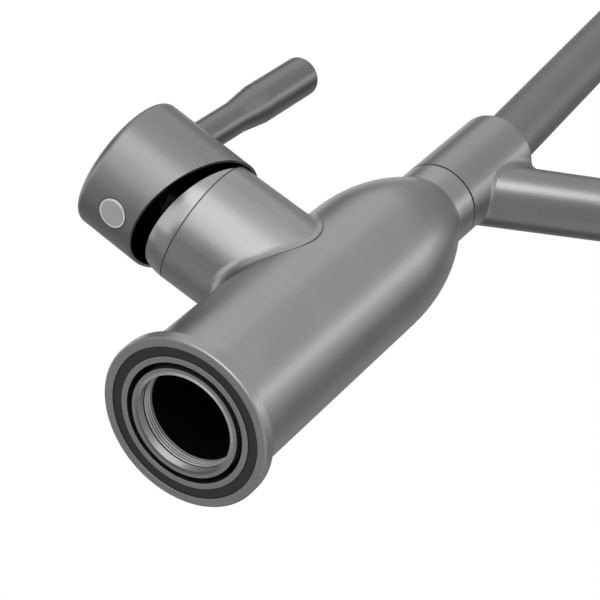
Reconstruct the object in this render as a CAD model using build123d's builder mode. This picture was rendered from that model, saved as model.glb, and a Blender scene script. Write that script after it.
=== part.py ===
from build123d import *
import math
import os

# Kitchen mixer tap: a stainless body on a round base flange, a side lever with a
# pin handle, and a swivelling collar that carries the spout tube and its arm.
# Frame: origin at the centre of the base face, +Z up the body, lever towards +X.

# Base flange and body
flange_r = 25.75
flange_h = 4.0
flange_edge = 0.4
barrel_r = 22.55
shoulder_z = 96.5
neck_r = 13.3
neck_z = 134.0
neck_fillet = 2.0
seam_z = 144.0
base_bore_r = 18.3
chamber_top_z = 44.0

# Base gasket in its groove
gasket_outer_r = 22.9
gasket_inner_r = 20.1
gasket_depth = 2.9
gasket_recess = 0.3
gasket_side_gap = 0.1

# Threaded insert for the fixing shank
insert_outer_r = 16.6
insert_bore_r = 14.6
insert_length = 36.0
insert_thread_length = 10.0
insert_thread_gap = 0.05

# Supply and mixed water passages
inlet_spread = 7.0
inlet_drop = 4.5
outlet_rise = 6.5
passage_r = 3.0
outlet_passage_r = 5.0
supply_thread_r = 4.45
supply_thread_length = 9.0

# Side housing for the cartridge
housing_z = 70.7
housing_r = 20.05
housing_fillet = 4.0
housing_wall = 1.65
seat_x = 16.0

# Cartridge, measured along the housing from its seat
cartridge_gap = 0.2
cartridge_base_thick = 4.0
seal_outer_r = 4.6
seal_inner_r = 3.3
seal_thick = 1.4
seal_gap = 0.1
fixed_disc_gap = 1.6
fixed_disc_thick = 3.5
moving_disc_r = 10.5
moving_disc_thick = 3.1
moving_pocket_r = 6.5
moving_pocket_depth = 1.6
disc_film = 0.02
carrier_thick = 4.4
carrier_gap = 0.28
shell_wall = 1.2
shell_top = 2.0
shell_neck_r = 11.2
rotor_thick = 4.9
rotor_gap = 0.3
hub_r = 10.8
hub_reach = 5.0
slot_half_width = 4.2
slot_half_height = 8.2
nut_thick = 3.3
nut_sink = 0.2
nut_thread_depth = 0.8
nut_collar_step = 0.9
nut_collar_thick = 1.3
nut_hex_step = 0.3
nut_hex_thick = 3.6
nut_bore_r = 11.6
nut_relief = 0.2
thread_gap = 0.05

# Polished dome ring between the housing and the lever cap
dome_spare = 0.5
dome_wall = 1.3
dome_lip_gap = 0.1
dome_cut_centre = 2.5
dome_cut_tilt = 16.4
dome_edge = 1.0

# Lever: cap, stem and pin handle, on an axis through the lever pivot
closed_tilt = 2.5
foot_arm = 12.5
foot_ball_r = 2.4
foot_neck_r = 2.1
foot_clearance = 0.15
stem_side = 8.0
stem_inner_reach = 3.0
stem_reach = 27.0
pivot_pin_r = 1.5
pivot_pin_inset = 0.5
pivot_gap = 0.05
cap_gap = 0.25
cap_wall = 1.2
cap_end = 31.4
cap_end_wall = 2.0
cap_edge = 2.4
cap_rim_centre = 4.1
cap_rim_wedge = 18.3
boss_r = 10.0
boss_start = 12.2
boss_gap = 0.05
handle_axis = 23.8
handle_narrow_r = 5.2
handle_thick_r = 6.5
handle_flare_start = 48.0
handle_flare_end = 59.5
handle_top = 86.4
handle_edge = 1.6
handle_seat = 8.5
handle_stud_r = 2.5
handle_stud_length = 3.5
handle_gap = 0.05
grub_axis = 18.6
grub_r = 2.5
grub_length = 4.6
grub_socket = 2.5
plug_r = 4.5
plug_gap = 0.05
plug_thick = 1.5
plug_proud = 0.1

# Swivel joint of the spout
spigot_r = 10.0
spigot_thread_r = 9.1
spigot_thread_length = 16.0
spigot_bore_r = 6.0
spigot_top_z = 166.0
oring_section = 1.9
oring_lower_z = 150.0
oring_upper_z = 158.0
oring_gap = 0.03
slide_ring_thick = 0.8
slide_ring_inset = 0.25
clip_z = 162.4
clip_thick = 1.5
clip_depth = 1.0
clip_gap = 0.06
clip_opening = 4.0
running_gap = 0.05

# Collar and arm
collar_end_z = 184.5
tube_socket_z = 170.0
arm_z = 155.3
arm_r = 10.2
arm_wall = 1.5
arm_rise = 45.0
arm_slant = 105.0
arm_bend_r = 40.0
arm_plug = 1.0
arm_fillet = 3.5

# Spout tube
tube_r = 8.95
tube_wall = 1.2
tube_lean = 2.8
lean_bend_r = 60.0
riser_length = 130.0
neck_bend_r = 100.0

# Ring at the arm's end and the aerator on the tube's end
ring_wall = 4.0
ring_height = 22.0
ring_tenon_length = 12.0
ring_gap = 0.05
ring_screw_r = 2.0
ring_screw_length = 3.6
ring_to_aerator = 20.0
aerator_r = 11.0
aerator_height = 18.0
aerator_overlap = 8.0
aerator_lip = 1.2
aerator_lip_height = 1.0
aerator_washer_thick = 1.5
aerator_edge = 0.8
jet_r = 0.9
jet_circle_r = 4.6
jet_count = 8

# Tolerance for choosing edges by their place
pick = 0.01

# Places that follow from the sizes above
lever_up = (-math.sin(math.radians(closed_tilt)), 0, math.cos(math.radians(closed_tilt)))
lever_out = (math.cos(math.radians(closed_tilt)), 0, math.sin(math.radians(closed_tilt)))
nut_thread_r = housing_r - housing_wall
nut_collar_r = nut_thread_r - nut_collar_step
nut_hex_r = nut_collar_r - nut_hex_step
cartridge_bore_r = nut_thread_r - nut_thread_depth
cartridge_r = cartridge_bore_r - cartridge_gap
fixed_disc_r = cartridge_r - shell_wall - fixed_disc_gap
cap_r = housing_r + cap_gap + cap_wall
base_front_x = seat_x + cartridge_base_thick
moving_disc_x = base_front_x + fixed_disc_thick + disc_film
carrier_x = moving_disc_x + moving_disc_thick
disc_offset = -foot_arm * math.sin(math.radians(closed_tilt))
rotor_back_x = carrier_x + carrier_thick + carrier_gap
shell_end_x = rotor_back_x + rotor_thick + rotor_gap + shell_top
shell_length = shell_end_x - base_front_x
housing_end_x = shell_end_x + nut_thick + nut_sink
rotor_r = cartridge_r - shell_wall - rotor_gap
pivot_pin_length = 2 * (hub_r - pivot_pin_inset)
port_places = [(-inlet_drop, -inlet_spread), (-inlet_drop, inlet_spread), (outlet_rise, 0)]
collar_bore_r = spigot_r + running_gap
collar_start_z = seam_z + slide_ring_thick + running_gap


def across(x):
    """Plane square to the housing axis at distance x from the body axis; its X points up."""
    return Plane(origin=(x, 0, housing_z), x_dir=(0, 0, 1), z_dir=(1, 0, 0))


def lever_point(out, up=0.0):
    """Point at a distance out along the lever axis from the pivot and up from that axis."""
    x = housing_end_x + out * lever_out[0] + up * lever_up[0]
    z = housing_z + out * lever_out[2] + up * lever_up[2]
    return (x, 0, z)


def lever_across(out):
    """Plane square to the lever axis; its X points along the pin handle."""
    return Plane(origin=lever_point(out), x_dir=lever_up, z_dir=lever_out)


def handle_plane(out, up):
    """Plane square to the pin handle's direction, at a height above the lever axis."""
    return Plane(origin=lever_point(out, up), x_dir=lever_out, z_dir=lever_up)


# Body: flange, barrel, shoulder, neck and side housing in one piece
with BuildPart() as body:
    with BuildSketch(Plane.XZ):
        with BuildLine():
            Polyline(
                (0, 0),
                (flange_r, 0),
                (flange_r, flange_h),
                (barrel_r, flange_h),
                (barrel_r, shoulder_z),
            )
            TangentArc((barrel_r, shoulder_z), (neck_r, neck_z), tangent=(0, 1))
            Polyline((neck_r, neck_z), (neck_r, seam_z), (0, seam_z), (0, 0))
        make_face()
    revolve(axis=Axis.Z)
    body_rings = body.edges().filter_by(GeomType.CIRCLE)
    neck_corner = body_rings.filter_by_position(Axis.Z, neck_z - pick, neck_z + pick)
    fillet(neck_corner, neck_fillet)
    flange_rings = body.edges().filter_by(GeomType.CIRCLE).filter_by_position(Axis.Z, 0, flange_h)
    chamfer(flange_rings.group_by(SortBy.RADIUS)[-1], flange_edge)
    with BuildSketch(across(0)):
        Circle(housing_r)
    extrude(amount=housing_end_x)
    junction = body.edges().filter_by(GeomType.BSPLINE)
    fillet(junction, housing_fillet)
    with BuildSketch(Plane.XY):
        Circle(base_bore_r)
    extrude(amount=chamber_top_z, mode=Mode.SUBTRACT)
    with BuildSketch(Plane.XY):
        Circle(gasket_outer_r + gasket_side_gap)
        Circle(gasket_inner_r - gasket_side_gap, mode=Mode.SUBTRACT)
    extrude(amount=gasket_recess + gasket_depth, mode=Mode.SUBTRACT)
    with BuildSketch(across(seat_x)):
        Circle(cartridge_bore_r)
    extrude(amount=housing_end_x - seat_x, mode=Mode.SUBTRACT)
    with BuildSketch(across(housing_end_x)):
        Circle(nut_thread_r)
    extrude(amount=shell_end_x - nut_relief - housing_end_x, mode=Mode.SUBTRACT)
    with BuildSketch(Plane.XY.offset(chamber_top_z)):
        with Locations((0, -inlet_spread), (0, inlet_spread)):
            Circle(supply_thread_r)
    extrude(amount=supply_thread_length, mode=Mode.SUBTRACT)
    with BuildSketch(Plane.XY.offset(chamber_top_z)):
        with Locations((0, -inlet_spread), (0, inlet_spread)):
            Circle(passage_r)
    extrude(amount=housing_z - inlet_drop - chamber_top_z, mode=Mode.SUBTRACT)
    with BuildSketch(across(-passage_r)):
        with Locations(*port_places):
            Circle(passage_r)
    extrude(amount=seat_x + passage_r, mode=Mode.SUBTRACT)
    with BuildSketch(Plane.XY.offset(housing_z + outlet_rise)):
        Circle(outlet_passage_r)
    extrude(amount=seam_z - housing_z - outlet_rise, mode=Mode.SUBTRACT)
    with BuildSketch(Plane.XY.offset(seam_z - spigot_thread_length)):
        Circle(spigot_thread_r + thread_gap)
    extrude(amount=spigot_thread_length, mode=Mode.SUBTRACT)
body.part.label = "body"

# Rubber gasket that seals the base to the worktop
with BuildPart() as base_gasket:
    with BuildSketch(Plane.XY.offset(gasket_recess)):
        Circle(gasket_outer_r)
        Circle(gasket_inner_r, mode=Mode.SUBTRACT)
    extrude(amount=gasket_depth)
base_gasket.part.label = "base_gasket"

# Threaded insert that takes the fixing shank
with BuildPart() as threaded_insert:
    with BuildSketch(Plane.XY):
        Circle(insert_outer_r)
    extrude(amount=insert_length)
    with BuildSketch(Plane.XY.offset(insert_length - insert_thread_length)):
        Circle(base_bore_r - insert_thread_gap)
    extrude(amount=insert_thread_length)
    with BuildSketch(Plane.XY):
        Circle(insert_bore_r)
    extrude(amount=insert_length, mode=Mode.SUBTRACT)
threaded_insert.part.label = "threaded_insert"

# Cartridge base plate with its three ports
with BuildPart() as cartridge_base:
    with BuildSketch(across(seat_x)):
        Circle(cartridge_r)
        with Locations(*port_places):
            Circle(passage_r, mode=Mode.SUBTRACT)
    extrude(amount=cartridge_base_thick)
    with BuildSketch(across(seat_x)):
        with Locations(*port_places):
            Circle(seal_outer_r + seal_gap)
    extrude(amount=seal_thick + seal_gap, mode=Mode.SUBTRACT)
cartridge_base.part.label = "cartridge_base"

# Three ring seals under the ports
with BuildPart() as port_seals:
    with BuildSketch(across(seat_x)):
        with Locations(*port_places):
            Circle(seal_outer_r)
        with Locations(*port_places):
            Circle(seal_inner_r, mode=Mode.SUBTRACT)
    extrude(amount=seal_thick)
port_seals.part.label = "port_seals"

# Fixed ceramic disc
with BuildPart() as fixed_disc:
    with BuildSketch(across(base_front_x)):
        Circle(fixed_disc_r)
        with Locations(*port_places):
            Circle(passage_r, mode=Mode.SUBTRACT)
    extrude(amount=fixed_disc_thick)
fixed_disc.part.label = "fixed_disc"

# Moving ceramic disc with the mixing pocket in its face
with BuildPart() as moving_disc:
    with BuildSketch(across(moving_disc_x)):
        with Locations((disc_offset, 0)):
            Circle(moving_disc_r)
    extrude(amount=moving_disc_thick)
    with BuildSketch(across(moving_disc_x)):
        with Locations((disc_offset, 0)):
            Circle(moving_pocket_r)
    extrude(amount=moving_pocket_depth, mode=Mode.SUBTRACT)
moving_disc.part.label = "moving_disc"

# Carrier that the stem's foot pushes up and down
with BuildPart() as disc_carrier:
    with BuildSketch(across(carrier_x)):
        with Locations((disc_offset, 0)):
            Circle(moving_disc_r)
            Circle(foot_ball_r + foot_clearance, mode=Mode.SUBTRACT)
    extrude(amount=carrier_thick)
    with BuildSketch(across(carrier_x + carrier_thick)):
        with Locations((disc_offset, 0)):
            SlotCenterToCenter(foot_ball_r, 2 * (foot_ball_r + foot_clearance))
    extrude(amount=-carrier_thick / 2, mode=Mode.SUBTRACT)
disc_carrier.part.label = "disc_carrier"

# Cartridge shell
with BuildPart() as cartridge_shell:
    with BuildSketch(across(base_front_x)):
        Circle(cartridge_r)
    extrude(amount=shell_length)
    with BuildSketch(across(base_front_x)):
        Circle(cartridge_r - shell_wall)
    extrude(amount=shell_length - shell_top, mode=Mode.SUBTRACT)
    with BuildSketch(across(base_front_x)):
        Circle(shell_neck_r)
    extrude(amount=shell_length, mode=Mode.SUBTRACT)
cartridge_shell.part.label = "cartridge_shell"

# Rotor that turns with the lever and carries its pivot pin
with BuildPart() as rotor:
    with BuildSketch(across(rotor_back_x)):
        Circle(rotor_r)
    extrude(amount=rotor_thick)
    with BuildSketch(across(rotor_back_x)):
        Circle(hub_r)
    extrude(amount=housing_end_x + hub_reach - rotor_back_x)
    with BuildSketch(across(rotor_back_x)):
        Rectangle(2 * slot_half_height, 2 * slot_half_width)
    extrude(amount=housing_end_x + hub_reach - rotor_back_x, mode=Mode.SUBTRACT)
    with BuildSketch(Plane.XZ.offset(-hub_r)):
        with Locations((housing_end_x, housing_z)):
            Circle(pivot_pin_r + pivot_gap / 2)
    extrude(amount=2 * hub_r, mode=Mode.SUBTRACT)
rotor.part.label = "rotor"

# Pivot pin across the rotor
with BuildPart() as pivot_pin:
    with BuildSketch(Plane.XZ.offset(-pivot_pin_length / 2)):
        with Locations((housing_end_x, housing_z)):
            Circle(pivot_pin_r)
    extrude(amount=pivot_pin_length)
pivot_pin.part.label = "pivot_pin"

# Union nut that holds the cartridge down
with BuildPart() as cartridge_nut:
    with BuildSketch(across(shell_end_x)):
        Circle(nut_thread_r - thread_gap)
    extrude(amount=nut_thick)
    with BuildSketch(across(shell_end_x)):
        Circle(nut_collar_r)
    extrude(amount=nut_thick + nut_collar_thick)
    with BuildSketch(across(shell_end_x + nut_thick + nut_collar_thick)):
        RegularPolygon(nut_hex_r, 6)
    extrude(amount=nut_hex_thick)
    with BuildSketch(across(shell_end_x)):
        Circle(nut_bore_r)
    extrude(amount=nut_thick + nut_collar_thick + nut_hex_thick, mode=Mode.SUBTRACT)
cartridge_nut.part.label = "cartridge_nut"

# Polished dome ring, a zone of a ball centred on the lever pivot, cut on the slant in front
dome_cut_way = (math.cos(math.radians(dome_cut_tilt)), 0, math.sin(math.radians(dome_cut_tilt)))
dome_cut_r = math.sqrt(housing_r**2 - dome_cut_centre**2)
dome_reach = dome_cut_centre * dome_cut_way[0] + dome_cut_r * dome_cut_way[2] + dome_spare
dome_edge_r = math.sqrt(housing_r**2 - dome_reach**2)
dome_mid = dome_reach / 2
dome_cut_origin = (
    housing_end_x + dome_cut_centre * dome_cut_way[0],
    0,
    housing_z + dome_cut_centre * dome_cut_way[2],
)
dome_cut = Plane(origin=dome_cut_origin, x_dir=(0, 1, 0), z_dir=dome_cut_way)
with BuildPart() as dome_ring:
    with BuildSketch(Plane.XZ):
        with BuildLine():
            ThreePointArc(
                (housing_end_x, housing_z + housing_r),
                (housing_end_x + dome_mid, housing_z + math.sqrt(housing_r**2 - dome_mid**2)),
                (housing_end_x + dome_reach, housing_z + dome_edge_r),
            )
            Polyline(
                (housing_end_x + dome_reach, housing_z + dome_edge_r),
                (housing_end_x + dome_reach, housing_z + dome_edge_r - dome_wall),
                (housing_end_x + dome_wall, housing_z + housing_r - dome_wall),
                (housing_end_x + dome_wall, housing_z + nut_collar_r + dome_lip_gap),
                (housing_end_x, housing_z + nut_collar_r + dome_lip_gap),
                (housing_end_x, housing_z + housing_r),
            )
        make_face()
    revolve(axis=Axis((0, 0, housing_z), (1, 0, 0)))
    split(bisect_by=dome_cut, keep=Keep.BOTTOM)
    dome_rim = dome_ring.faces().sort_by(Axis(dome_cut_origin, dome_cut_way))[-1]
    chamfer(dome_rim.edges().filter_by(GeomType.CIRCLE).sort_by(SortBy.RADIUS)[-1], dome_edge)
    with BuildSketch(across(housing_end_x)):
        Circle(housing_r - dome_wall)
        Circle(nut_collar_r + dome_lip_gap, mode=Mode.SUBTRACT)
    extrude(amount=dome_wall)
dome_ring.part.label = "dome_ring"

# Stem of the lever, with the ball foot that moves the disc
with BuildPart() as stem:
    with BuildSketch(lever_across(-stem_inner_reach)):
        Rectangle(stem_side, stem_side)
    extrude(amount=stem_reach + stem_inner_reach)
    with BuildSketch(lever_across(-foot_arm)):
        Circle(foot_neck_r)
    extrude(amount=foot_arm)
    with Locations(lever_point(-foot_arm)):
        Sphere(foot_ball_r)
    with BuildSketch(Plane.XZ.offset(-stem_side)):
        with Locations((housing_end_x, housing_z)):
            Circle(pivot_pin_r + pivot_gap)
    extrude(amount=2 * stem_side, mode=Mode.SUBTRACT)
stem.part.label = "stem"

# Lever cap with its obliquely cut rim
rim_cut = Plane(
    origin=lever_point(cap_rim_centre),
    x_dir=(0, 1, 0),
    z_dir=(
        math.cos(math.radians(closed_tilt + cap_rim_wedge)),
        0,
        math.sin(math.radians(closed_tilt + cap_rim_wedge)),
    ),
)
with BuildPart() as lever_cap:
    with BuildSketch(lever_across(cap_rim_centre - cap_r)):
        Circle(cap_r)
    extrude(amount=cap_end - cap_rim_centre + cap_r)
    fillet(lever_cap.faces().sort_by(Axis.X)[-1].edges(), cap_edge)
    with BuildSketch(lever_across(cap_rim_centre - cap_r)):
        Circle(cap_r - cap_wall)
    extrude(amount=cap_end - cap_end_wall - cap_rim_centre + cap_r, mode=Mode.SUBTRACT)
    split(bisect_by=rim_cut, keep=Keep.TOP)
    with BuildSketch(lever_across(boss_start)):
        Circle(boss_r)
    extrude(amount=cap_end - cap_end_wall - boss_start)
    with BuildSketch(lever_across(boss_start)):
        Rectangle(stem_side + 2 * boss_gap, stem_side + 2 * boss_gap)
    extrude(amount=stem_reach + boss_gap - boss_start, mode=Mode.SUBTRACT)
    with BuildSketch(handle_plane(handle_axis, handle_seat - handle_stud_length)):
        Circle(handle_stud_r + handle_gap)
    extrude(amount=cap_r, mode=Mode.SUBTRACT)
    with BuildSketch(handle_plane(handle_axis, handle_seat)):
        Circle(handle_narrow_r + handle_gap)
    extrude(amount=cap_r, mode=Mode.SUBTRACT)
    with BuildSketch(handle_plane(grub_axis, 0)):
        Circle(grub_r + handle_gap)
    extrude(amount=-cap_r, mode=Mode.SUBTRACT)
    with BuildSketch(handle_plane(grub_axis, -boss_r)):
        Circle(plug_r + plug_gap)
    extrude(amount=-cap_r, mode=Mode.SUBTRACT)
lever_cap.part.label = "lever_cap"

# Pin handle, screwed into the cap's boss
with BuildPart() as pin_handle:
    with BuildSketch(Plane(origin=lever_point(handle_axis), x_dir=lever_out, z_dir=(0, -1, 0))):
        with BuildLine():
            Polyline(
                (0, handle_seat - handle_stud_length),
                (handle_stud_r, handle_seat - handle_stud_length),
                (handle_stud_r, handle_seat),
                (handle_narrow_r, handle_seat),
                (handle_narrow_r, handle_flare_start),
                (handle_thick_r, handle_flare_end),
                (handle_thick_r, handle_top),
                (0, handle_top),
                (0, handle_seat - handle_stud_length),
            )
        make_face()
    revolve(axis=Axis(lever_point(handle_axis), lever_up))
    top_edge = pin_handle.edges().filter_by(GeomType.CIRCLE).sort_by(Axis.Z)[-1]
    fillet(top_edge, handle_edge)
pin_handle.part.label = "pin_handle"

# Grub screw that clamps the cap to the stem
with BuildPart() as grub_screw:
    with BuildSketch(handle_plane(grub_axis, -stem_side / 2)):
        Circle(grub_r)
    extrude(amount=-grub_length)
    with BuildSketch(handle_plane(grub_axis, -stem_side / 2 - grub_length)):
        RegularPolygon(grub_socket / 2, 6)
    extrude(amount=grub_length / 2, mode=Mode.SUBTRACT)
grub_screw.part.label = "grub_screw"

# Round plug that covers the grub screw
with BuildPart() as indicator_plug:
    with BuildSketch(handle_plane(grub_axis, -cap_r - plug_proud)):
        Circle(plug_r)
    extrude(amount=plug_thick)
indicator_plug.part.label = "indicator_plug"

# Spigot screwed into the neck, with grooves for the seals and the clip
with BuildPart() as swivel_spigot:
    with BuildSketch(Plane.XY.offset(seam_z - spigot_thread_length)):
        Circle(spigot_thread_r)
    extrude(amount=spigot_thread_length)
    with BuildSketch(Plane.XY.offset(seam_z)):
        Circle(spigot_r)
    extrude(amount=spigot_top_z - seam_z)
    for groove_z, groove_depth, groove_width in (
        (oring_lower_z, oring_section + oring_gap - running_gap, oring_section + 2 * oring_gap),
        (oring_upper_z, oring_section + oring_gap - running_gap, oring_section + 2 * oring_gap),
        (clip_z, clip_depth, clip_thick + 2 * clip_gap),
    ):
        with BuildSketch(Plane.XY.offset(groove_z - groove_width / 2)):
            Circle(spigot_r)
            Circle(spigot_r - groove_depth, mode=Mode.SUBTRACT)
        extrude(amount=groove_width, mode=Mode.SUBTRACT)
    with BuildSketch(Plane.XY.offset(seam_z - spigot_thread_length)):
        Circle(spigot_bore_r)
    extrude(amount=spigot_thread_length + spigot_top_z - seam_z, mode=Mode.SUBTRACT)
swivel_spigot.part.label = "swivel_spigot"

# Two rubber rings that seal the swivel
with BuildPart() as spigot_seals:
    with Locations((0, 0, oring_lower_z), (0, 0, oring_upper_z)):
        Torus(collar_bore_r - oring_gap - oring_section / 2, oring_section / 2)
spigot_seals.part.label = "spigot_seals"

# Slide ring in the seam between neck and collar
with BuildPart() as slide_ring:
    with BuildSketch(Plane.XY.offset(seam_z)):
        Circle(neck_r - slide_ring_inset)
        Circle(spigot_r + running_gap, mode=Mode.SUBTRACT)
    extrude(amount=slide_ring_thick)
slide_ring.part.label = "slide_ring"

# Open clip that keeps the collar on the spigot
with BuildPart() as retaining_clip:
    with BuildSketch(Plane.XY.offset(clip_z - clip_thick / 2)):
        Circle(spigot_r + clip_depth)
        Circle(spigot_r - clip_depth + clip_gap, mode=Mode.SUBTRACT)
        with Locations((spigot_r, 0)):
            Rectangle(4 * clip_depth, clip_opening, mode=Mode.SUBTRACT)
    extrude(amount=clip_thick)
retaining_clip.part.label = "retaining_clip"

# Height of the arm's level part and of the outlet below its ring
arm_level_z = arm_z + arm_slant * math.sin(math.radians(arm_rise))
outlet_z = arm_level_z - ring_height / 2 - ring_to_aerator - aerator_overlap

# Spout path: up the collar, a slight lean, over the top and down to the outlet
with BuildLine(Plane.XZ) as tube_path:
    path_foot = Line((0, tube_socket_z), (0, collar_end_z))
    path_lean = JernArc(
        start=path_foot @ 1,
        tangent=path_foot % 1,
        radius=lean_bend_r,
        arc_size=-tube_lean,
    )
    path_riser = PolarLine(path_lean @ 1, riser_length, direction=path_lean % 1)
    path_top = JernArc(
        start=path_riser @ 1,
        tangent=path_riser % 1,
        radius=neck_bend_r,
        arc_size=180 + tube_lean,
    )
    path_drop = Line(path_top @ 1, ((path_top @ 1).X, outlet_z))
outlet_x = (tube_path.line @ 1).X

# Spout tube
with BuildPart() as spout_tube:
    with BuildSketch(Plane.XY.offset(tube_socket_z)):
        Circle(tube_r)
        Circle(tube_r - tube_wall, mode=Mode.SUBTRACT)
    sweep(path=tube_path.line)
spout_tube.part.label = "spout_tube"

# Arm path: out of the collar on the slant, then level to the ring
arm_way = (-math.cos(math.radians(arm_rise)), 0, math.sin(math.radians(arm_rise)))
arm_inner_r = arm_r - arm_wall
arm_bore_start = (neck_r + arm_inner_r * arm_way[2]) / -arm_way[0] + arm_plug
slant_x = arm_slant * arm_way[0]
ring_outer_r = tube_r + ring_gap + ring_wall
arm_end_x = outlet_x + ring_outer_r
with BuildLine(Plane.XZ) as arm_path:
    FilletPolyline((0, arm_z), (slant_x, arm_level_z), (arm_end_x, arm_level_z), radius=arm_bend_r)
arm_plane = Plane(origin=(0, 0, arm_z), x_dir=(0, 1, 0), z_dir=arm_way)
bore_plane = arm_plane.offset(arm_bore_start)
with BuildLine(Plane.XZ) as arm_bore_path:
    FilletPolyline(
        (bore_plane.origin.X, bore_plane.origin.Z),
        (slant_x, arm_level_z),
        (arm_end_x, arm_level_z),
        radius=arm_bend_r,
    )

# Swivel collar with the arm welded into its side
with BuildPart() as swivel_collar:
    with BuildSketch(Plane.XY.offset(collar_start_z)):
        Circle(neck_r)
    extrude(amount=collar_end_z - collar_start_z)
    with BuildSketch(arm_plane):
        Circle(arm_r)
    sweep(path=arm_path.line)
    arm_junction = swivel_collar.edges().filter_by(GeomType.BSPLINE)
    fillet(arm_junction, arm_fillet)
    with BuildSketch(bore_plane):
        Circle(arm_inner_r)
    sweep(path=arm_bore_path.line, mode=Mode.SUBTRACT)
    with BuildSketch(Plane.XY.offset(collar_start_z)):
        Circle(collar_bore_r)
    extrude(amount=spigot_top_z + slide_ring_thick - collar_start_z, mode=Mode.SUBTRACT)
    with BuildSketch(Plane.XY.offset(collar_start_z)):
        Circle(tube_r - tube_wall)
    extrude(amount=collar_end_z - collar_start_z, mode=Mode.SUBTRACT)
    with BuildSketch(Plane.XY.offset(tube_socket_z)):
        Circle(tube_r + running_gap)
    extrude(amount=collar_end_z - tube_socket_z, mode=Mode.SUBTRACT)
    with BuildSketch(Plane.XY.offset(clip_z - clip_thick / 2 - clip_gap)):
        Circle(spigot_r + clip_depth + clip_gap)
    extrude(amount=clip_thick + 2 * clip_gap, mode=Mode.SUBTRACT)
swivel_collar.part.label = "swivel_collar"

# Ring at the arm's end that holds the tube
with BuildPart() as outlet_ring:
    with BuildSketch(Plane.XY.offset(arm_level_z - ring_height / 2)):
        with Locations((outlet_x, 0)):
            Circle(ring_outer_r)
    extrude(amount=ring_height)
    with BuildSketch(Plane.YZ.offset(outlet_x)):
        with Locations((0, arm_level_z)):
            Circle(arm_r)
    extrude(amount=ring_outer_r)
    with BuildSketch(Plane.YZ.offset(outlet_x)):
        with Locations((0, arm_level_z)):
            Circle(arm_inner_r - ring_gap)
    extrude(amount=ring_outer_r + ring_tenon_length)
    with BuildSketch(Plane.XY.offset(arm_level_z - ring_height / 2)):
        with Locations((outlet_x, 0)):
            Circle(tube_r + ring_gap)
    extrude(amount=ring_height, mode=Mode.SUBTRACT)
    with BuildSketch(Plane.YZ.offset(outlet_x - ring_outer_r)):
        with Locations((0, arm_level_z)):
            Circle(ring_screw_r + ring_gap)
    extrude(amount=ring_wall + ring_gap, mode=Mode.SUBTRACT)
outlet_ring.part.label = "outlet_ring"

# Screw that clamps the ring to the tube
with BuildPart() as ring_screw:
    with BuildSketch(Plane.YZ.offset(outlet_x - tube_r)):
        with Locations((0, arm_level_z)):
            Circle(ring_screw_r)
    extrude(amount=-ring_screw_length)
    with BuildSketch(Plane.YZ.offset(outlet_x - tube_r - ring_screw_length)):
        with Locations((0, arm_level_z)):
            RegularPolygon(ring_screw_r / 2, 6)
    extrude(amount=ring_screw_length / 2, mode=Mode.SUBTRACT)
ring_screw.part.label = "ring_screw"

# Aerator shell on the tube's end
aerator_top_z = outlet_z + aerator_overlap
aerator_bottom_z = aerator_top_z - aerator_height
washer_z = outlet_z - aerator_washer_thick
with BuildPart() as aerator_shell:
    with BuildSketch(Plane.XY.offset(aerator_bottom_z)):
        with Locations((outlet_x, 0)):
            Circle(aerator_r)
    extrude(amount=aerator_height)
    chamfer(aerator_shell.edges().filter_by(GeomType.CIRCLE), aerator_edge)
    with BuildSketch(Plane.XY.offset(aerator_bottom_z + aerator_lip_height)):
        with Locations((outlet_x, 0)):
            Circle(tube_r + thread_gap)
    extrude(amount=aerator_height, mode=Mode.SUBTRACT)
    with BuildSketch(Plane.XY.offset(aerator_bottom_z)):
        with Locations((outlet_x, 0)):
            Circle(tube_r - aerator_lip)
    extrude(amount=aerator_height, mode=Mode.SUBTRACT)
aerator_shell.part.label = "aerator_shell"

# Aerator insert with its ring of jets
with BuildPart() as aerator_insert:
    with BuildSketch(Plane.XY.offset(aerator_bottom_z + aerator_lip_height)):
        with Locations((outlet_x, 0)):
            Circle(tube_r)
            with PolarLocations(jet_circle_r, jet_count):
                Circle(jet_r, mode=Mode.SUBTRACT)
    extrude(amount=washer_z - aerator_bottom_z - aerator_lip_height)
aerator_insert.part.label = "aerator_insert"

# Rubber washer between the tube's end and the aerator insert
with BuildPart() as aerator_washer:
    with BuildSketch(Plane.XY.offset(washer_z)):
        with Locations((outlet_x, 0)):
            Circle(tube_r)
            Circle(tube_r - tube_wall, mode=Mode.SUBTRACT)
    extrude(amount=aerator_washer_thick)
aerator_washer.part.label = "aerator_washer"

pieces = [
    body,
    base_gasket,
    threaded_insert,
    cartridge_base,
    port_seals,
    fixed_disc,
    moving_disc,
    disc_carrier,
    cartridge_shell,
    rotor,
    pivot_pin,
    cartridge_nut,
    dome_ring,
    stem,
    lever_cap,
    pin_handle,
    grub_screw,
    indicator_plug,
    swivel_spigot,
    spigot_seals,
    slide_ring,
    retaining_clip,
    spout_tube,
    swivel_collar,
    outlet_ring,
    ring_screw,
    aerator_shell,
    aerator_insert,
    aerator_washer,
]
os.makedirs("parts", exist_ok=True)
for piece in pieces:
    export_step(piece.part, f"parts/{piece.part.label}.step")
    print(piece.part.label, round(piece.part.volume, 1), len(piece.part.solids()))
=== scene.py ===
import math

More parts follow.
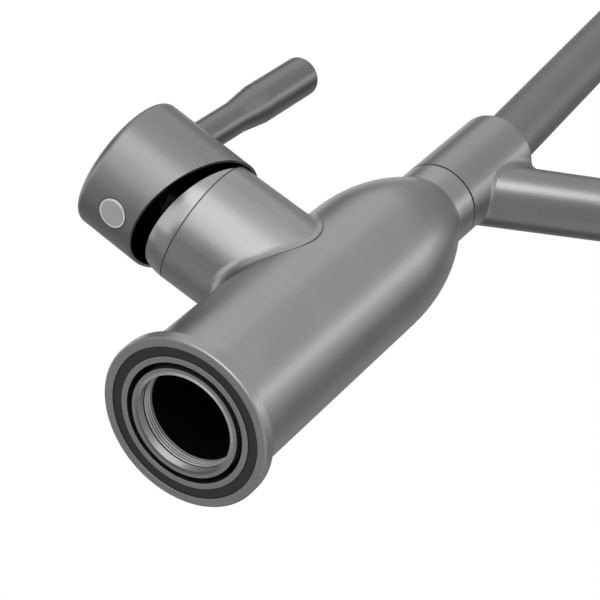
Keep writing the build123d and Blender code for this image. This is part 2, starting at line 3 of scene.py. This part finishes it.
import bmesh
import bpy
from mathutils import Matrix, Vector


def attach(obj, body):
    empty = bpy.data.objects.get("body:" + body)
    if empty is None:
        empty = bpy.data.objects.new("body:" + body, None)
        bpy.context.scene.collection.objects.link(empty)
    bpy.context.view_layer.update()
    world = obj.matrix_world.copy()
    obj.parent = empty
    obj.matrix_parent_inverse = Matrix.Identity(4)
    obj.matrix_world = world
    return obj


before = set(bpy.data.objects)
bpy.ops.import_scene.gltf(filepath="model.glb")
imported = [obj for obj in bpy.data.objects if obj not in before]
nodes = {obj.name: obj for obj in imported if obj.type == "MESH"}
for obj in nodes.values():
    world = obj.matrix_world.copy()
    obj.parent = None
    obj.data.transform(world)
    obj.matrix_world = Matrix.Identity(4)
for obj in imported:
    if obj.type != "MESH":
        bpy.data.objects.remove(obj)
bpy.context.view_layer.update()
MM = 0.001

# Camera: its place in the frame, its turn in degrees, its lens, and the depth it sees
CAMERA_PLACE = Vector((-0.1277, 0.4317, -0.4310))
CAMERA_TURN = (149.554, -30.634, 156.178)
CAMERA_LENS = 140.3
CAMERA_NEAR = 0.01
CAMERA_FAR = 20.0
SENSOR = 36.0

# Where the side housing and the lever's pivot stand, and the lever's tilt when closed
HOUSING_Z = 70.7 * MM
HOUSING_END_X = 42.0 * MM
CLOSED_TILT = math.radians(2.5)

# The lever cap's hollow, which is painted in deep shade, and the round plug on its underside; the
# plug's painted shadow line fades out between two heights, counted from the cap's axis
CAP_INNER_R = 20.3 * MM
CAP_DEPTH = 29.4 * MM
PLUG_AXIS = 18.6 * MM
PLUG_R = 4.5 * MM
PLUG_HEIGHTS = (-10.0 * MM, -8.0 * MM)

# The curve on which the housing's fillet meets the barrel, and the fades of the painted shadow line
# drawn
# on it: across the line, from the barrel's middle to the front, and upwards
JOINT_REACH = 24.05 * MM
JOINT_SQUEEZE = 22.55 / 26.55
JOINT_ACROSS = (0.04 * MM, 0.24 * MM)
JOINT_FRONT = (2.0 * MM, 4.0 * MM)
JOINT_UP = (0.0, 20.0 * MM)

# Where other marks fade, counted from the edge that they belong to: painted shade at the seams and
# in the cap, the plug rim's painted highlight, and the bore wall's bump
SEAM_BEFORE = (-0.3 * MM, -0.1 * MM)
SEAM_AFTER = (0.1 * MM, 0.3 * MM)
CAP_WALL = (0.2 * MM, 0.5 * MM)
CAP_END = (0.5 * MM, 0.8 * MM)
PLUG_HIGHLIGHT_RIM = (-0.6 * MM, -0.4 * MM)
PLUG_LINE = (0.2 * MM, 0.4 * MM)
BORE_WALL = (0.2 * MM, 0.3 * MM)

# How much of a mark's tone the painted shadow lines take
JOINT_SHADE = 0.8
DOME_SEAM_SHADE = 0.9
PLUG_LINE_SHADE = 0.85

# Bore of the threaded insert; painted shade darkens its wall between two depths
BORE_R = 14.6 * MM
BORE_SHADE_START = 5.2 * MM
BORE_SHADE_FULL = 6.6 * MM
MOUTH_CUT = 0.9 * MM
MOUTH_DEPTH = 2.4 * MM
MOUTH_SLOPE = 2.2
MOUTH_RELIEF = 0.7 * MM

# First turns of the insert's thread; the profile is in parts of a half width and of the height
THREAD_START = 2.6 * MM
THREAD_PITCH = 0.9 * MM
THREAD_HEIGHT = 0.4 * MM
THREAD_TURNS = 4.5
THREAD_STEPS = 96
THREAD_FADE = 20
THREAD_HALF = 0.42 * THREAD_PITCH
THREAD_PROFILE = ((-1.0, -0.02), (-0.2, 1.0), (0.2, 1.0), (1.0, -0.02))


# Node helpers

def new_material(name):
    """A material with its tree and its Principled shader."""
    material = bpy.data.materials.new(name)
    material.use_nodes = True
    tree = material.node_tree
    return material, tree, tree.nodes["Principled BSDF"]


def add(tree, kind, **values):
    """A node of one kind, with attributes and input values set by name."""
    node = tree.nodes.new(kind)
    for key, value in values.items():
        if key in node.inputs:
            node.inputs[key].default_value = value
        else:
            setattr(node, key, value)
    return node


def object_place(tree):
    """Object coordinates."""
    return tree.nodes.new("ShaderNodeTexCoord").outputs["Object"]


def stretched(tree, scale=(1.0, 1.0, 1.0)):
    """Object coordinates times a scale for each axis."""
    mapping = add(tree, "ShaderNodeMapping", Scale=scale)
    tree.links.new(object_place(tree), mapping.inputs["Vector"])
    return mapping.outputs["Vector"]


def seen_from(tree, origin, turn=0.0, scale=(1.0, 1.0, 1.0)):
    """Object coordinates as seen from an origin, turned about Y and over a scale."""
    mapping = add(tree, "ShaderNodeMapping", vector_type="TEXTURE", Scale=scale)
    mapping.inputs["Location"].default_value = origin
    mapping.inputs["Rotation"].default_value = (0.0, turn, 0.0)
    tree.links.new(object_place(tree), mapping.inputs["Vector"])
    return mapping.outputs["Vector"]


def length_over(tree, vector, axes):
    """Length of a vector over those axes that have a 1."""
    flat = add(tree, "ShaderNodeVectorMath", operation="MULTIPLY")
    flat.inputs[1].default_value = axes
    tree.links.new(vector, flat.inputs[0])
    size = add(tree, "ShaderNodeVectorMath", operation="LENGTH")
    tree.links.new(flat.outputs["Vector"], size.inputs[0])
    return size.outputs["Value"]


def along(tree, vector, axis):
    """One coordinate of a vector, by the name of its axis."""
    sides = tree.nodes.new("ShaderNodeSeparateXYZ")
    tree.links.new(vector, sides.inputs["Vector"])
    return sides.outputs[axis]


def noise(tree, vector, scale, detail):
    """Noise factor at a place."""
    node = add(tree, "ShaderNodeTexNoise", Scale=scale, Detail=detail)
    tree.links.new(vector, node.inputs["Vector"])
    return node.outputs["Fac"]


def spread(tree, value, low, high, start=0.0, end=1.0):
    """A value between start and end mapped onto low to high, and held beyond them."""
    node = add(tree, "ShaderNodeMapRange")
    node.inputs["From Min"].default_value = start
    node.inputs["From Max"].default_value = end
    node.inputs["To Min"].default_value = low
    node.inputs["To Max"].default_value = high
    tree.links.new(value, node.inputs["Value"])
    return node.outputs["Result"]


def sum_up(tree, first, second, how="ADD"):
    """Two values joined by one sum; the second may be a plain number."""
    node = add(tree, "ShaderNodeMath", operation=how)
    tree.links.new(first, node.inputs[0])
    if isinstance(second, float):
        node.inputs[1].default_value = second
    else:
        tree.links.new(second, node.inputs[1])
    return node.outputs[0]


def share_out(tree, first, second, share):
    """A share of the first value and the rest of the second."""
    part = sum_up(tree, first, share, "MULTIPLY")
    rest = sum_up(tree, second, 1.0 - share, "MULTIPLY")
    return sum_up(tree, part, rest)


def tint(tree, value, dark, light):
    """A colour between two tones, by a 0 to 1 value that lies mostly near its middle."""
    ramp = tree.nodes.new("ShaderNodeValToRGB")
    ramp.color_ramp.elements[0].position = 0.3
    ramp.color_ramp.elements[0].color = (*dark, 1.0)
    ramp.color_ramp.elements[1].position = 0.7
    ramp.color_ramp.elements[1].color = (*light, 1.0)
    tree.links.new(value, ramp.inputs["Fac"])
    return ramp.outputs["Color"]


def blend(tree, part, first, second):
    """Colour that goes from first to second as part goes from 0 to 1."""
    node = add(tree, "ShaderNodeMix", data_type="RGBA")
    tree.links.new(part, node.inputs[0])
    tree.links.new(first, node.inputs[6])
    node.inputs[7].default_value = (*second, 1.0)
    return node.outputs[2]


def finish_normal(tree, shader, value, height, edge=0.0, slope=None):
    """Bump of a real height in metres, over edges eased by a radius or over a cut slope."""
    node = add(tree, "ShaderNodeBump", Strength=1.0, Distance=height)
    tree.links.new(value, node.inputs["Height"])
    if edge:
        soft = add(tree, "ShaderNodeBevel", Radius=edge, samples=6)
        tree.links.new(soft.outputs["Normal"], node.inputs["Normal"])
    if slope:
        fall = add(tree, "ShaderNodeBump", Strength=1.0, Distance=slope[1])
        tree.links.new(slope[0](tree), fall.inputs["Height"])
        tree.links.new(fall.outputs["Normal"], node.inputs["Normal"])
    tree.links.new(node.outputs["Normal"], shader.inputs["Normal"])


# Marks that a finish may carry, each a 0 to 1 value over the surface: painted shade, a painted
# highlight, and the bore mouth's bump

def past(edge, fade):
    """Start and end of a fade that is counted from an edge."""
    return edge + fade[0], edge + fade[1]


def joint_shadow_line(tree):
    """Painted shadow: a thin line where the housing's fillet runs out on the barrel, and one along
    the housing's end.
    """
    squeezed = seen_from(tree, (0.0, 0.0, HOUSING_Z), scale=(1.0, JOINT_SQUEEZE, 1.0))
    off = sum_up(tree, length_over(tree, squeezed, (0.0, 1.0, 1.0)), JOINT_REACH, "SUBTRACT")
    away = add(tree, "ShaderNodeMath", operation="ABSOLUTE")
    tree.links.new(off, away.inputs[0])
    near = spread(tree, away.outputs[0], JOINT_SHADE, 0.0, *JOINT_ACROSS)
    place = object_place(tree)
    side = along(tree, place, "X")
    front = spread(tree, side, 0.0, 1.0, *JOINT_FRONT)
    low = spread(tree, along(tree, place, "Z"), 1.0, 0.0, *past(HOUSING_Z, JOINT_UP))
    end = spread(tree, side, 0.0, JOINT_SHADE, *past(HOUSING_END_X, SEAM_BEFORE))
    line = sum_up(tree, sum_up(tree, near, front, "MULTIPLY"), low, "MULTIPLY")
    return sum_up(tree, line, end, "MAXIMUM")


def dome_seam_shade(tree):
    """Painted shade along the edge of the dome ring at its seam with the housing."""
    side = along(tree, object_place(tree), "X")
    return spread(tree, side, DOME_SEAM_SHADE, 0.0, *past(HOUSING_END_X, SEAM_AFTER))


def cap_place(tree):
    """Object coordinates seen from the lever's pivot, with X along the closed cap."""
    return seen_from(tree, (HOUSING_END_X, 0.0, HOUSING_Z), -CLOSED_TILT)


def plug_distance(tree):
    """Distance from the axis of the round plug on the cap's underside."""
    away = add(tree, "ShaderNodeVectorMath", operation="SUBTRACT")
    away.inputs[1].default_value = (PLUG_AXIS, 0.0, 0.0)
    tree.links.new(cap_place(tree), away.inputs[0])
    return length_over(tree, away.outputs["Vector"], (1.0, 1.0, 0.0))


def plug_rim_highlight(tree):
    """The plug's rim, painted brighter as a highlight."""
    return spread(tree, plug_distance(tree), 0.0, 1.0, *past(PLUG_R, PLUG_HIGHLIGHT_RIM))


def cap_painted_shade(tree):
    """Painted deep shade on the inside of the cap, before its closed end, and the painted shadow
    line around the plug.
    """
    place = cap_place(tree)
    reach = length_over(tree, place, (0.0, 1.0, 1.0))
    inner = spread(tree, reach, 1.0, 0.0, *past(CAP_INNER_R, CAP_WALL))
    before_end = spread(tree, along(tree, place, "X"), 1.0, 0.0, *past(CAP_DEPTH, CAP_END))
    hollow = sum_up(tree, inner, before_end, "MULTIPLY")
    line = spread(tree, plug_distance(tree), PLUG_LINE_SHADE, 0.0, *past(PLUG_R, PLUG_LINE))
    under = spread(tree, along(tree, place, "Z"), 1.0, 0.0, *PLUG_HEIGHTS)
    return sum_up(tree, hollow, sum_up(tree, line, under, "MULTIPLY"), "MAXIMUM")


def bore_painted_shade(tree):
    """Painted shade that deepens down the bore wall behind the first threads of the insert."""
    return spread(tree, along(tree, object_place(tree), "Z"), 0.0, 1.0, BORE_SHADE_START, BORE_SHADE_FULL)


def bore_mouth(tree):
    """Height of the insert's end face, which falls away towards the bore, and of its wide mouth."""
    place = object_place(tree)
    reach = length_over(tree, place, (1.0, 1.0, 0.0))
    face = spread(tree, reach, 1.0, 0.0, BORE_R, BORE_R + MOUTH_CUT)
    wall = spread(tree, along(tree, place, "Z"), 0.0, MOUTH_SLOPE, 0.0, MOUTH_DEPTH)
    inner = spread(tree, reach, 1.0, 0.0, *past(BORE_R, BORE_WALL))
    return sum_up(tree, face, sum_up(tree, wall, inner, "MULTIPLY"))


# Materials

# Noise scale and detail of what the finishes are made of
LINES = (60.0, 4.0)
GRAIN = (2600.0, 2.0)
CLOUDS = (45.0, 2.0)
PLAIN_GRAIN = (900.0, 3.0)

# Share of the lines among the fine parts and of those among all, swings of tone and roughness,
# what a mark adds to roughness, and the real heights of the relief
LINE_SHARE = 0.6
FINE_SHARE = 0.65
STEEL_LOW = 0.92
PLAIN_LOW = 0.9
TONE_HIGH = 1.08
ROUGH_SWING = 0.06
MARK_ROUGH = 0.3
STEEL_RELIEF = 0.006 * MM
DOME_RELIEF = 0.0004 * MM
PLAIN_RELIEF = 0.01 * MM

# Which way the fine lines run, tones that are used more than once (the two dark ones are painted
# shade), and radii that ease the edges
AROUND_Z = (1.0, 1.0, 40.0)
AROUND_X = (40.0, 1.0, 1.0)
STEEL_TONE = (0.333, 0.333, 0.335)
SHADOW = (0.03, 0.03, 0.03)
DEEP_SHADE = (0.012, 0.012, 0.012)
EDGE = 0.25 * MM
HANDLE_EDGE = 1.2 * MM


def times(tone, factor):
    """A tone times a factor."""
    return tuple(factor * part for part in tone)


def steel(name, tone, rough, scale, edge=0.0, mark=None, mark_tone=SHADOW, slope=None,
          relief=STEEL_RELIEF):
    """Satin steel, with fine lines that run across the axis with the large number of scale."""
    material, tree, shader = new_material(name)
    shader.inputs["Metallic"].default_value = 1.0
    lines = noise(tree, stretched(tree, scale), *LINES)
    grains = noise(tree, stretched(tree), *GRAIN)
    clouds = noise(tree, stretched(tree), *CLOUDS)
    fine = share_out(tree, lines, grains, LINE_SHARE)
    both = share_out(tree, fine, clouds, FINE_SHARE)
    colour = tint(tree, both, times(tone, STEEL_LOW), times(tone, TONE_HIGH))
    roughness = spread(tree, both, rough - ROUGH_SWING, rough + ROUGH_SWING)
    if mark:
        where = mark(tree)
        colour = blend(tree, where, colour, mark_tone)
        roughness = sum_up(tree, roughness, sum_up(tree, where, MARK_ROUGH, "MULTIPLY"))
    tree.links.new(colour, shader.inputs["Base Color"])
    tree.links.new(roughness, shader.inputs["Roughness"])
    finish_normal(tree, shader, fine, relief, edge, slope)
    return material


def plain(name, tone, rough, metallic=0.0):
    """A close-grained finish for rubber, plastic, ceramic and brass."""
    material, tree, shader = new_material(name)
    shader.inputs["Metallic"].default_value = metallic
    grains = noise(tree, stretched(tree), *PLAIN_GRAIN)
    colour = tint(tree, grains, times(tone, PLAIN_LOW), times(tone, TONE_HIGH))
    roughness = spread(tree, grains, rough - ROUGH_SWING, rough + ROUGH_SWING)
    tree.links.new(colour, shader.inputs["Base Color"])
    tree.links.new(roughness, shader.inputs["Roughness"])
    finish_normal(tree, shader, grains, PLAIN_RELIEF)
    return material


def dress(material, *names):
    """Gives CAD nodes a material in place of their packed one."""
    for name in names:
        slots = nodes[name].data.materials
        slots.clear()
        slots.append(material)


# body_steel carries painted shadow lines where the housing's fillet meets the barrel and along the
# housing's end
body_steel = steel("body_steel", STEEL_TONE, 0.34, AROUND_Z, EDGE, joint_shadow_line)
# lever_steel paints the cap's hollow in deep shade and draws a painted shadow line round the plug
lever_steel = steel("lever_steel", (0.245, 0.245, 0.247), 0.34, AROUND_X, EDGE, cap_painted_shade, DEEP_SHADE)
# The pin handle's steel is the body's steel darkened as painted shade, for how the light falls on
# the handle
handle_steel_painted_shade = steel("handle_steel_painted_shade", (0.2, 0.2, 0.202), 0.33, AROUND_Z, HANDLE_EDGE)
# The collar's steel is the body's steel slightly darkened as painted shade, for how the light falls
# on the collar
collar_steel_painted_shade = steel("collar_steel_painted_shade", (0.29, 0.29, 0.292), 0.34, AROUND_Z, EDGE)
tube_steel = steel("tube_steel", (0.21, 0.21, 0.212), 0.5, AROUND_Z)
# insert_steel and thread_steel darken the bore wall with depth as painted shade
insert_steel = steel("insert_steel", STEEL_TONE, 0.4, AROUND_Z, mark=bore_painted_shade, mark_tone=DEEP_SHADE,
                     slope=(bore_mouth, MOUTH_RELIEF))
thread_steel = steel("thread_steel", STEEL_TONE, 0.35, AROUND_Z, mark=bore_painted_shade, mark_tone=DEEP_SHADE)
# dome_steel carries a painted shadow line at its seam with the housing
dome_steel = steel("dome_steel", (0.36, 0.36, 0.363), 0.26, AROUND_X, mark=dome_seam_shade,
                   relief=DOME_RELIEF)
# plug_steel paints a highlight on the plug's rim in a lighter tone
plug_steel = steel("plug_steel", (0.6, 0.6, 0.6), 0.5, AROUND_X, EDGE, plug_rim_highlight, (0.8, 0.8, 0.8))
screw_steel = steel("screw_steel", (0.3, 0.3, 0.3), 0.35, AROUND_X)
rubber = plain("black_rubber", (0.018, 0.018, 0.019), 0.65)
black_plastic = plain("black_plastic", (0.018, 0.018, 0.018), 0.5)
white_plastic = plain("white_plastic", (0.7, 0.7, 0.68), 0.4)
ceramic = plain("white_ceramic", (0.8, 0.79, 0.75), 0.25)
brass = plain("turned_brass", (0.6, 0.43, 0.2), 0.3, metallic=1.0)
# Brass painted near black for the cartridge nut, as the deep shade it sits in under the lever cap
shade_black_brass = plain("brass_in_painted_shade", (0.004, 0.004, 0.0035), 0.8, metallic=1.0)

dress(body_steel, "body")
dress(collar_steel_painted_shade, "swivel_collar", "outlet_ring", "aerator_shell")
dress(lever_steel, "lever_cap")
dress(handle_steel_painted_shade, "pin_handle")
dress(tube_steel, "spout_tube")
dress(insert_steel, "threaded_insert")
dress(dome_steel, "dome_ring")
dress(plug_steel, "indicator_plug")
dress(screw_steel, "grub_screw", "ring_screw", "retaining_clip", "pivot_pin", "stem")
dress(rubber, "base_gasket", "port_seals", "spigot_seals", "aerator_washer")
# The slide ring is black plastic, and its black also stands in as painted shade in the collar's
# seam gap
dress(black_plastic, "cartridge_shell", "rotor", "disc_carrier", "slide_ring")
dress(white_plastic, "cartridge_base", "aerator_insert")
dress(ceramic, "fixed_disc", "moving_disc")
dress(brass, "swivel_spigot")
dress(shade_black_brass, "cartridge_nut")


# First turns of the insert's thread

def insert_thread():
    """A thin ridge that winds up the bore wall from just inside its mouth."""
    total = int(THREAD_TURNS * THREAD_STEPS)
    mesh = bpy.data.meshes.new("insert_thread")
    ridge = bmesh.new()
    rows = []
    for i in range(total + 1):
        angle = 2 * math.pi * i / THREAD_STEPS
        fade = min(1.0, i / THREAD_FADE, (total - i) / THREAD_FADE)
        z = THREAD_START + THREAD_PITCH * i / THREAD_STEPS
        row = []
        for up, deep in THREAD_PROFILE:
            r = BORE_R - THREAD_HEIGHT * deep * (fade if deep > 0 else 1.0)
            corner = (r * math.cos(angle), r * math.sin(angle), z + THREAD_HALF * up)
            row.append(ridge.verts.new(corner))
        rows.append(row)
    for first, second in zip(rows, rows[1:]):
        for k in range(4):
            n = (k + 1) % 4
            ridge.faces.new((first[k], first[n], second[n], second[k]))
    ridge.faces.new(rows[0])
    ridge.faces.new(rows[-1])
    bmesh.ops.recalc_face_normals(ridge, faces=ridge.faces)
    ridge.to_mesh(mesh)
    ridge.free()
    mesh.materials.append(thread_steel)
    thread = bpy.data.objects.new("insert_thread", mesh)
    bpy.context.scene.collection.objects.link(thread)
    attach(thread, "tap_body")


insert_thread()


# Floor, seen from above only, so that the view from below shows the base

FLOOR_REACH = 3.0
FLOOR_HEIGHT = -0.6 * MM
FLOOR_SPECKLE = (30.0, 2.0)
FLOOR_DARK = (0.92, 0.92, 0.92)
FLOOR_LIGHT = (0.93, 0.93, 0.93)
FLOOR_ROUGH = 0.8


def pale_floor():
    """A pale sheet that shows the object's shadow from above and is clear from below."""
    mesh = bpy.data.meshes.new("floor")
    corners = []
    for x, y in ((-1, -1), (1, -1), (1, 1), (-1, 1)):
        corners.append((FLOOR_REACH * x, FLOOR_REACH * y, FLOOR_HEIGHT))
    mesh.from_pydata(corners, [], [(0, 1, 2, 3)])
    floor = bpy.data.objects.new("floor", mesh)
    bpy.context.scene.collection.objects.link(floor)
    material, tree, shader = new_material("pale_floor")
    speckle = noise(tree, stretched(tree), *FLOOR_SPECKLE)
    colour = tint(tree, speckle, FLOOR_DARK, FLOOR_LIGHT)
    tree.links.new(colour, shader.inputs["Base Color"])
    shader.inputs["Roughness"].default_value = FLOOR_ROUGH
    side = tree.nodes.new("ShaderNodeNewGeometry")
    clear = tree.nodes.new("ShaderNodeBsdfTransparent")
    choose = tree.nodes.new("ShaderNodeMixShader")
    tree.links.new(side.outputs["Backfacing"], choose.inputs[0])
    tree.links.new(shader.outputs["BSDF"], choose.inputs[1])
    tree.links.new(clear.outputs["BSDF"], choose.inputs[2])
    tree.links.new(choose.outputs["Shader"], tree.nodes["Material Output"].inputs["Surface"])
    mesh.materials.append(material)
    floor.visible_shadow = False
    floor.visible_glossy = False
    floor.visible_diffuse = False


pale_floor()


# Light: studio panels round the object, dim and bright, with white left open between them

BODY_MIDDLE = Vector((0.0, 0.0, 0.09))
PANEL_DISTANCE = 1.5
PANEL_ROWS = 3
PANEL_STEP = 10

# Name, start and end azimuth, low and high elevation in degrees, and radiance, where 1 is white
PANELS = [
    ("high_a", -22.5, 7.5, 30, 66, 0.18),
    ("high_b", 67.5, 97.5, 30, 66, 0.73),
    ("high_c", 97.5, 142.5, 30, 66, 0.65),
    ("high_d", 142.5, 157.5, 30, 66, 2.0),
    ("high_e", 157.5, 187.5, 30, 66, 0.7),
    ("high_f", 187.5, 217.5, 30, 66, 0.23),
    ("high_g", 217.5, 262.5, 30, 66, 0.38),
    ("high_h", 262.5, 307.5, 30, 66, 0.32),
    ("level_a", -15, 15, -5, 30, 0.4),
    ("level_b", 96, 124, -5, 22, 3.3),
    ("level_e", 124, 195, -5, 12, 0.35),
    ("level_c", 195, 225, -5, 30, 0.64),
    ("level_f", 225, 255, -5, 30, 0.15),
    ("level_d", 255, 315, -5, 30, 0.36),
    ("low_a", -15, 45, -35, -5, 0.4),
    ("low_b", 45, 105, -35, -5, 1.94),
    ("low_c", 255, 315, -35, -5, 0.3),
    ("low_d", 124, 255, -35, -5, 0.45),
    ("under_a", -22.5, 67.5, -66, -35, 1.28),
    ("under_b", 67.5, 112.5, -66, -35, 2.22),
    ("under_c", 247.5, 337.5, -66, -35, 0.5),
    ("top", 0, 360, 66, 90, 0.43),
    ("nadir", 0, 360, -90, -66, 0.28),
]

# The lamp for the floor and its shadow: strength, apparent size, azimuth and elevation
LAMP_ENERGY = 1.5
LAMP_ANGLE = math.radians(24.0)
LAMP_AZIMUTH = 134.0
LAMP_ELEVATION = 62.0

# How strongly the white world lights surfaces that aren't mirrors
WORLD_LIGHT = 0.62


def around(azimuth, elevation, distance):
    """A point seen from the body's middle at an azimuth from +X and an elevation, in degrees."""
    a = math.radians(azimuth)
    e = math.radians(elevation)
    way = Vector((math.cos(a) * math.cos(e), math.sin(a) * math.cos(e), math.sin(e)))
    return BODY_MIDDLE + distance * way


def panel(name, start, end, low, high, radiance):
    """A curved panel, part of a sphere, that glows evenly and shows only in reflections."""
    columns = max(2, math.ceil((end - start) / PANEL_STEP))
    corners = []
    for i in range(PANEL_ROWS + 1):
        for j in range(columns + 1):
            azimuth = start + (end - start) * j / columns
            elevation = low + (high - low) * i / PANEL_ROWS
            corners.append(tuple(around(azimuth, elevation, PANEL_DISTANCE)))
    faces = []
    for i in range(PANEL_ROWS):
        for j in range(columns):
            k = i * (columns + 1) + j
            faces.append((k, k + 1, k + columns + 2, k + columns + 1))
    mesh = bpy.data.meshes.new(name)
    mesh.from_pydata(corners, [], faces)
    sheet = bpy.data.objects.new(name, mesh)
    bpy.context.scene.collection.objects.link(sheet)
    material, _, shader = new_material(name)
    shader.inputs["Base Color"].default_value = (0.0, 0.0, 0.0, 1.0)
    shader.inputs["Roughness"].default_value = 1.0
    shader.inputs["Specular IOR Level"].default_value = 0.0
    shader.inputs["Emission Color"].default_value = (1.0, 1.0, 1.0, 1.0)
    shader.inputs["Emission Strength"].default_value = radiance
    mesh.materials.append(material)
    sheet.visible_camera = False
    sheet.visible_diffuse = False
    sheet.visible_shadow = False


def top_lamp():
    """The soft lamp that lights the floor evenly and leaves the object's shadow on it."""
    lamp = bpy.data.lights.new("top_lamp", "SUN")
    lamp.energy = LAMP_ENERGY
    lamp.angle = LAMP_ANGLE
    holder = bpy.data.objects.new("top_lamp", lamp)
    way = around(LAMP_AZIMUTH, LAMP_ELEVATION, 1.0) - BODY_MIDDLE
    holder.matrix_world = way.to_track_quat("Z", "Y").to_matrix().to_4x4()
    holder.visible_glossy = False
    holder.visible_camera = False
    bpy.context.scene.collection.objects.link(holder)


def white_world():
    """A white world for the camera, mirrors and glass, and a softer one for other surfaces."""
    world = bpy.data.worlds.new("studio")
    bpy.context.scene.world = world
    world.use_nodes = True
    tree = world.node_tree
    back = tree.nodes["Background"]
    path = tree.nodes.new("ShaderNodeLightPath")
    shown = path.outputs["Is Camera Ray"]
    for kind in ("Is Glossy Ray", "Is Transmission Ray"):
        shown = sum_up(tree, shown, path.outputs[kind], "MAXIMUM")
    back.inputs["Color"].default_value = (1.0, 1.0, 1.0, 1.0)
    tree.links.new(spread(tree, shown, WORLD_LIGHT, 1.0), back.inputs["Strength"])


white_world()
top_lamp()
for row in PANELS:
    panel(*row)


# Camera

def make_camera():
    """The camera that comes closest to the photo's view with square pixels."""
    data = bpy.data.cameras.new("camera")
    data.lens = CAMERA_LENS
    data.sensor_width = SENSOR
    data.clip_start = CAMERA_NEAR
    data.clip_end = CAMERA_FAR
    camera = bpy.data.objects.new("camera", data)
    camera.location = CAMERA_PLACE
    camera.rotation_euler = [math.radians(angle) for angle in CAMERA_TURN]
    bpy.context.scene.collection.objects.link(camera)
    bpy.context.scene.camera = camera


make_camera()
bpy.context.scene.view_settings.view_transform = "Standard"
